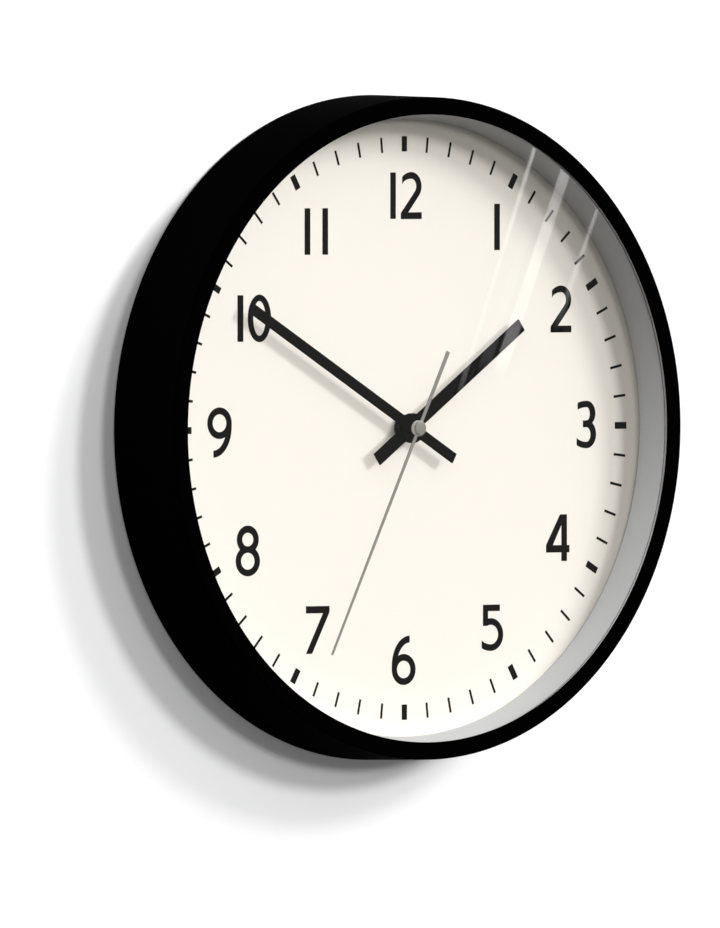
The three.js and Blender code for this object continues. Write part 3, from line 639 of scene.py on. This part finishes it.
def back_cover():
    """The disc in the rear rim: openings, a skirt to the dial, and low ribs on its rear."""
    rear, front = COVER_REAR, 5.0
    holes = [rounded_rectangle(WINDOW, WINDOW, 4, hole=True)]
    holes.append(rounded_rectangle(15.6, 28, 3, (0, HANGER_MIDDLE), hole=True))
    holes += [circle(1.45, at, 24, hole=True) for at in SCREW_PLACES]
    holes += [circle(1.8, at, 24, hole=True) for at in RIVET_PLACES]
    shape = plate(Shape(), [circle(COVER_RADIUS)] + holes, rear, front, 0.25)
    outer, inner, start, stop = 141, 138.8, front - 0.1, depths("back_cover")[1]
    turned(shape, [(inner, start), (outer, start), (outer, stop), (inner, stop)])

    rib_rear, rib_front = rear - 0.6, rear + 0.1
    rings = [(118, 120.4), (133.5, 135)]
    for inner, outer in rings:
        ring = [(inner, rib_front), (outer, rib_front), (outer, rib_rear), (inner, rib_rear)]
        turned(shape, rounded(ring, {2: 0.25, 3: 0.25}))
    frame_edge = rounded_rectangle(WINDOW + 6, WINDOW + 6, 6)
    frame_hole = rounded_rectangle(WINDOW + 0.8, WINDOW + 0.8, 4.4, hole=True)
    plate(shape, [frame_edge, frame_hole], rib_rear, rib_front, 0.2)
    for angle in (0, 45, 135, 180, 225, 270, 315):
        start = 37 if angle % 90 == 0 else 50
        plate(shape, [turned_by(rectangle(start, 118.4, -0.8, 0.8), angle)], rib_rear, rib_front, 0.2)
    piece("rear_cover", shape, "case_black", replaces=["back_cover"], finish=REAR_BLACK, sharp=FLAT)


def cross(arm, half):
    """A plus sign."""
    corner = [(arm, -half), (arm, half), (half, half)]
    return [point for turn in range(4) for point in turned_by(corner, 90 * turn)]


def cover_screw(number):
    """A pan-head screw with a cross recess; its head faces the rear."""
    at = SCREW_PLACES[number - 1]
    rear, tip = depths(f"cover_screw_{number}")
    head, thread, seat = 2.1, 1.2, rear + 1.9
    recess = turned_by(cross(1.25, 0.27), 25 + 47 * number)
    edges = [shifted(circle(head, steps=48), *at), shifted(recess, *at)[::-1]]
    shape = plate(Shape(), edges, rear, rear + 1.0, 0.22)
    core = [(0, rear + 0.95), (head, rear + 0.95), (head, seat)]
    core += [(thread, seat), (thread, tip - thread), (0, tip)]
    turned(shape, core, at, 48, closed=False)
    piece(f"screw_{number}", shape, "zinc_steel", replaces=[f"cover_screw_{number}"])


def hanger():
    """The steel plate with its keyhole and two rivet holes."""
    rear, front = depths("hanger_plate")
    slot, entry, drop = 2.4, 4.8, 10
    side = degrees(math.asin(slot / entry))
    keyhole = arc((0, HOOK_HEIGHT), (slot, slot), 0, 180)
    keyhole += arc((0, HOOK_HEIGHT - drop), (entry, entry), 90 + side, 450 - side, 48)
    edges = [rounded_rectangle(36, 30, 3, (0, HANGER_MIDDLE)), keyhole[::-1]]
    edges += [circle(1.8, at, 32, hole=True) for at in RIVET_PLACES]
    shape = plate(Shape(), edges, rear, front, 0.15)
    piece("keyhole_plate", shape, "zinc_steel", replaces=["hanger_plate"])


def rivet(number):
    """A round-headed rivet through plate and cover."""
    rear, front = depths(f"hanger_rivet_{number}")
    head, shank, under = 3, 1.6, rear + 0.8
    profile = [(0, rear), (1.2, rear + 0.04), (2.1, rear + 0.18), (2.8, rear + 0.48)]
    profile += [(head, under), (shank, under)]
    profile += [(shank, front - 0.8), (2.55, front - 0.8), (2.55, front - 0.3), (2.2, front), (0, front)]
    shape = turned(Shape(), profile, RIVET_PLACES[number - 1], 48, closed=False)
    piece(f"rivet_{number}", shape, "zinc_steel", replaces=[f"hanger_rivet_{number}"], sharp=50)


# ------------------------------------------------------------------ knob and battery
def setting_knob():
    """A milled thumb wheel with a dished face."""
    rear, front = depths("setting_knob")
    at = own_xy("setting_knob")
    ridges, mean, wave = 18, 5.26, 0.22
    edge = []
    for i in range(ridges * 10):
        a = 2 * pi * i / (ridges * 10)
        radius = mean + wave * cos(ridges * a)
        edge.append((at[0] + radius * cos(a), at[1] + radius * sin(a)))
    shape = plate(Shape(), [edge, circle(3.6, at, 64, hole=True)], rear, front, 0.25)
    dish = [(0, rear + 0.75), (3.7, rear + 0.5), (3.7, front - 0.2)]
    dish += [(1.1, front - 0.2), (1.1, front - 1.5), (0, front - 1.5)]
    turned(shape, dish, at, 64, closed=False)
    piece("thumb_wheel", shape, "train_nylon", "setting_stem", ["setting_knob"])


def battery_cell():
    """A steel can with its contact nub, in a two-tone sleeve."""
    low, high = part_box("battery")
    left, right = (low.x - AXIS.x) / MM, (high.x - AXIS.x) / MM
    y, depth = own_xy("battery")[1], sum(depths("battery")) / 2
    radius, nub, nub_radius = (high.z - low.z) / 2 / MM, 1.0, 2.6
    end = right - nub
    can = [(0, left), (radius - 0.9, left), (radius - 0.5, left + 0.3), (radius - 0.35, left + 0.7)]
    can += [(radius - 0.35, end - 0.7), (radius - 0.5, end - 0.3), (radius - 0.9, end), (nub_radius, end)]
    can += [(nub_radius, right - 0.2), (nub_radius - 0.2, right), (0, right)]
    shape = turned_across(Shape(), can, y, depth)
    piece("cell_can", shape, "zinc_steel", "battery_cell", ["battery"], sharp=40)
    parting = left + 34.5
    for name, finish, start, stop in (
        ("cell_sleeve", None, left + 0.35, parting),
        ("cell_sleeve_band", SLEEVE_BAND, parting, end - 0.35),
    ):
        sleeve = [(0, start), (radius - 0.3, start), (radius, start + 0.25)]
        sleeve += [(radius, stop - 0.25), (radius - 0.3, stop), (0, stop)]
        shape = turned_across(Shape(), sleeve, y, depth)
        piece(name, shape, "cell_jacket", "battery_cell", finish=finish)


def soften(node, width):
    """Rounds the edges of a CAD node that stays."""
    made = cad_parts[node].modifiers.new("edges", "BEVEL")
    made.width = width * MM
    made.segments = 2
    made.limit_method = "ANGLE"
    made.angle_limit = radians(40)


# ------------------------------------------------------------------ the scene around the clock
WALL_GAP = 0.5 * MM
WHITE_WALL = (0.9, 0.9, 0.9)
WALL_FILL = 0.06  # the room's light on the wall beside the clock


def wall_material():
    """White paint; from behind it is clear, so that the clock's back can be seen."""
    made, nodes, links = new_material("wall_paint")
    out = nodes.new("ShaderNodeOutputMaterial")
    paint = nodes.new("ShaderNodeBsdfDiffuse")
    paint.inputs["Color"].default_value = (*WHITE_WALL, 1)
    fill = nodes.new("ShaderNodeEmission")
    fill.inputs["Strength"].default_value = WALL_FILL
    both = nodes.new("ShaderNodeAddShader")
    clear = nodes.new("ShaderNodeBsdfTransparent")
    side = nodes.new("ShaderNodeNewGeometry")
    mix = nodes.new("ShaderNodeMixShader")
    links.new(paint.outputs["BSDF"], both.inputs[0])
    links.new(fill.outputs["Emission"], both.inputs[1])
    links.new(side.outputs["Backfacing"], mix.inputs["Fac"])
    links.new(both.outputs["Shader"], mix.inputs[1])
    links.new(clear.outputs["BSDF"], mix.inputs[2])
    links.new(mix.outputs["Shader"], out.inputs["Surface"])
    return made


def wall():
    """A wall just behind the clock, which casts no shadow, so that light from behind gets through."""
    across = 3.0
    mesh = bpy.data.meshes.new("wall")
    corners = [(-across, WALL_GAP, -across), (across, WALL_GAP, -across)]
    corners += [(across, WALL_GAP, across), (-across, WALL_GAP, across)]
    mesh.from_pydata(corners, [], [(0, 1, 2, 3)])
    mesh.materials.append(wall_material())
    made = bpy.data.objects.new("wall", mesh)
    bpy.context.scene.collection.objects.link(made)
    made.visible_shadow = False


def linked(name, names, state):
    """A collection of objects that a light skips or only lights."""
    made = bpy.data.collections.new(name)
    for each in names:
        made.objects.link(bpy.data.objects[each])
    for item in made.collection_objects:
        item.light_linking.link_state = state
    return made


def sun(name, sideways, above, strength, width, behind=False, blockers=None, receivers=None):
    """A soft far light. sideways and above are tangents from the wall's normal, to the right and up."""
    data = bpy.data.lights.new(name, "SUN")
    data.energy = strength
    data.angle = radians(width)
    made = bpy.data.objects.new(name, data)
    towards = Vector((sideways, 1 if behind else -1, above)).normalized()
    made.rotation_mode = "QUATERNION"
    made.rotation_quaternion = towards.to_track_quat("Z", "Y")
    bpy.context.scene.collection.objects.link(made)
    made.light_linking.blocker_collection = blockers
    made.light_linking.receiver_collection = receivers


def sky():
    """An even pale surround, a little dimmer from below."""
    world = bpy.data.worlds.new("surround")
    bpy.context.scene.world = world
    world.use_nodes = True
    nodes, links = world.node_tree.nodes, world.node_tree.links
    nodes.clear()
    out = nodes.new("ShaderNodeOutputWorld")
    back = nodes.new("ShaderNodeBackground")
    where = nodes.new("ShaderNodeTexCoord")
    split = nodes.new("ShaderNodeSeparateXYZ")
    ramp = nodes.new("ShaderNodeMapRange")
    ramp.inputs["From Min"].default_value = -0.5
    ramp.inputs["From Max"].default_value = 0.7
    ramp.inputs["To Min"].default_value = 0.02
    ramp.inputs["To Max"].default_value = 0.68
    links.new(where.outputs["Generated"], split.inputs["Vector"])
    links.new(split.outputs["Z"], ramp.inputs["Value"])
    links.new(ramp.outputs["Result"], back.inputs["Color"])
    links.new(back.outputs["Background"], out.inputs["Surface"])


def camera():
    """A long lens from the left, level with the dial."""
    azimuth, elevation = radians(-40), radians(0.9)
    picture_width = 0.41803  # metres that the picture spans at the dial
    aim_behind, aim_left, aim_below = 16.2, 21.0, 16.2  # from the middle of the clock's front, in mm
    back = Vector((sin(azimuth) * cos(elevation), -cos(azimuth) * cos(elevation), sin(elevation)))
    right = Vector((cos(azimuth), sin(azimuth), 0))
    up = right.cross(-back)
    target = place(0, 0, CASE_FRONT - aim_behind) - right * aim_left * MM - up * aim_below * MM
    data = bpy.data.cameras.new("camera")
    data.lens = 1200
    data.sensor_width = 36
    distance = picture_width * data.lens / data.sensor_width
    data.clip_start = 1
    data.clip_end = 60
    made = bpy.data.objects.new("camera", data)
    made.location = target + back * distance
    made.rotation_mode = "QUATERNION"
    made.rotation_quaternion = (-back).to_track_quat("-Z", "Y")
    bpy.context.scene.collection.objects.link(made)
    bpy.context.scene.camera = made


# ------------------------------------------------------------------ what the lens mirrors
MIRROR_AWAY = 0.8  # metres from the lens to the strips


def mirrored_point(x, y):
    """Where the camera sees, in the lens at x, y, a thing that stands in front of the clock."""
    glass = place(x, y, GLASS_FRONT)
    ray = (glass - bpy.context.scene.camera.location).normalized()
    return glass + Vector((ray.x, -ray.y, ray.z)) * MIRROR_AWAY


def between(t, knots):
    """The value at t on straight lines between (t, value) knots."""
    for (t0, v0), (t1, v1) in zip(knots, knots[1:]):
        if t <= t1:
            return v0 + (v1 - v0) * (t - t0) / (t1 - t0)
    return knots[-1][1]


def glow_material():
    """A light whose strength follows the mesh's glow values."""
    made, nodes, links = new_material("strip_light")
    out = nodes.new("ShaderNodeOutputMaterial")
    light = nodes.new("ShaderNodeEmission")
    level = nodes.new("ShaderNodeAttribute")
    level.attribute_name = "glow"
    links.new(level.outputs["Fac"], light.inputs["Strength"])
    links.new(light.outputs["Emission"], out.inputs["Surface"])
    return made


def strip(name, start, stop, widths, glow, edge):
    """A long light beside the camera, seen only as its image in the lens; edge is its soft share."""
    along, across = 28, 16
    points, levels, faces = [], [], []
    for i in range(along + 1):
        t = i / along
        x, y = start[0] + (stop[0] - start[0]) * t, start[1] + (stop[1] - start[1]) * t
        width = widths[0] + (widths[1] - widths[0]) * t
        for j in range(across + 1):
            s = j / across
            points.append(mirrored_point(x + (s - 0.5) * width, y))
            rise = min(1, min(s, 1 - s) / edge)
            levels.append(between(t, glow) * rise * rise * (3 - 2 * rise))
    for i in range(along):
        for j in range(across):
            a = i * (across + 1) + j
            faces.append((a, a + 1, a + across + 2, a + across + 1))
    mesh = bpy.data.meshes.new(name)
    mesh.from_pydata(points, [], faces)
    mesh.attributes.new("glow", "FLOAT", "POINT").data.foreach_set("value", levels)
    mesh.materials.append(STRIP_GLOW)
    made = bpy.data.objects.new(name, mesh)
    bpy.context.scene.collection.objects.link(made)
    made.visible_camera = False
    made.visible_diffuse = False
    made.visible_transmission = False
    made.visible_volume_scatter = False
    made.visible_shadow = False


STRIP_GLOW = glow_material()

# ------------------------------------------------------------------ assembly
case_shell()
front_lens()
inner_ring()
dial()
ticks()
numerals()
baton(
    "hour_baton", "hour_hand", "hour_hand_pipe",
    tip=80, tail=24.4, width=6.2, hub=6.7, bore=2.7, turn=-54.8, collar=0.7,
)
baton(
    "minute_baton", "minute_hand", "minute_hand_pipe",
    tip=110, tail=28, width=4.9, hub=6.7, bore=1.8, turn=-300, collar=0.5,
)
second_hand()
back_cover()
for number in range(1, 7):
    cover_screw(number)
hanger()
rivet(1)
rivet(2)
setting_knob()
battery_cell()
for node in ("movement_front_housing", "movement_rear_cover", "train_bridge"):
    soften(node, 0.25)
for node in ("circuit_board", "stator", "coil_core", "battery_contact_positive", "battery_contact_negative"):
    soften(node, 0.06)

SLOT_NODES = {
    "zinc_steel": ["quartz_crystal", "coil_core", "stator"]
    + ["battery_contact_positive", "battery_contact_negative"],
    "brass_parts": ["minute_pipe"],
    "nut_black": ["nut_washer", "hex_nut"],
    "housing_dark": ["movement_front_housing", "movement_rear_cover"],
    "train_nylon": ["train_bridge", "coil_bobbin", "rotor_pinion", "intermediate_wheel", "second_wheel"]
    + ["third_wheel", "centre_wheel", "minute_wheel", "hour_wheel", "setting_shaft"],
    "rubber_black": ["rubber_washer"],
    "resin_black": ["timer_chip"],
    "board_green": ["circuit_board"],
    "magnet_wire": ["coil_winding"],
    "ferrite_grey": ["rotor_magnet"],
}
for slot, names in SLOT_NODES.items():
    for name in names:
        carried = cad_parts[name]
        carried.data.materials.clear()
        carried.data.materials.append(FINISH[slot])

wall()
sky()
# Three suns throw the wall's stepped shadow. The clock has suns of its own, some of which pass the hands,
# so that the dial stays even; the ring and the back have one each.
past_hands = linked("past_hands", ["hour_baton", "minute_baton", "needle", "boss_highlight_sleeve"], "EXCLUDE")
past_needle = linked("past_needle", ["needle", "boss_highlight_sleeve"], "EXCLUDE")
on_ring = linked("on_ring", ["inner_ring"], "INCLUDE")
on_wall = linked("on_wall", ["wall"], "INCLUDE")
off_wall = linked("off_wall", ["wall"], "EXCLUDE")
off_ring = linked("off_ring", ["inner_ring"], "EXCLUDE")
off_both = linked("off_both", ["wall", "inner_ring"], "EXCLUDE")
sun("low_light", 0.174, 0.145, 0.77, 6, receivers=on_wall)
sun("low_light_on_clock", 0.24, 0.2, 0.42, 8, blockers=past_hands, receivers=off_wall)
sun("middle_light", 0.519, 0.352, 1.3, 8, receivers=on_wall)
sun("side_light", 0.91, 0.757, 0.9, 9, receivers=on_wall)
sun("middle_light_on_clock", 0.72, 0.52, 1.4, 12, blockers=past_needle, receivers=off_wall)
sun("side_light_on_clock", 1.38, 0.95, 1.72, 14, blockers=past_hands, receivers=off_both)
sun("broad_light", 1.7, 1.4, 1.25, 35, blockers=past_hands, receivers=off_ring)
sun("ring_light", -0.4, 1.3, 2.1, 30, receivers=on_ring)
sun("rear_light", -0.4, 0.5, 1.6, 20, behind=True)
camera()
# Each streak's ends on the lens, its widths, its (place, glow) knots and its soft share. It brightens
# again where it crosses the hour hand.
STRIPS = [
    (
        (67.8, 137.5), (16.4, 10), (3.8, 5.6),
        [(0, 9), (0.19, 8), (0.42, 1.8), (0.8, 1.4), (0.87, 2.6), (1, 0)], 0.45,
    ),
    (
        (86.5, 126.9), (41.2, 22), (7.8, 9.8),
        [(0, 6.4), (0.37, 5.2), (0.6, 2.4), (0.72, 2), (0.78, 4), (0.88, 4), (1, 0)], 0.18,
    ),
    (
        (105.9, 110.3), (75, 42.5), (2.4, 8),
        [(0, 6), (0.45, 5), (0.75, 2.5), (1, 0)], 0.45,
    ),
    (
        (69.5, 112), (31, 22), (9, 9),
        [(0, 0), (0.2, 0.5), (0.7, 0.5), (0.8, 0.9), (0.9, 0.9), (1, 0)], 0.2,
    ),
]
for number, (start, stop, widths, glow, edge) in enumerate(STRIPS, 1):
    strip(f"strip_{number}", start, stop, widths, glow, edge)

bpy.context.scene.view_settings.view_transform = "Standard"
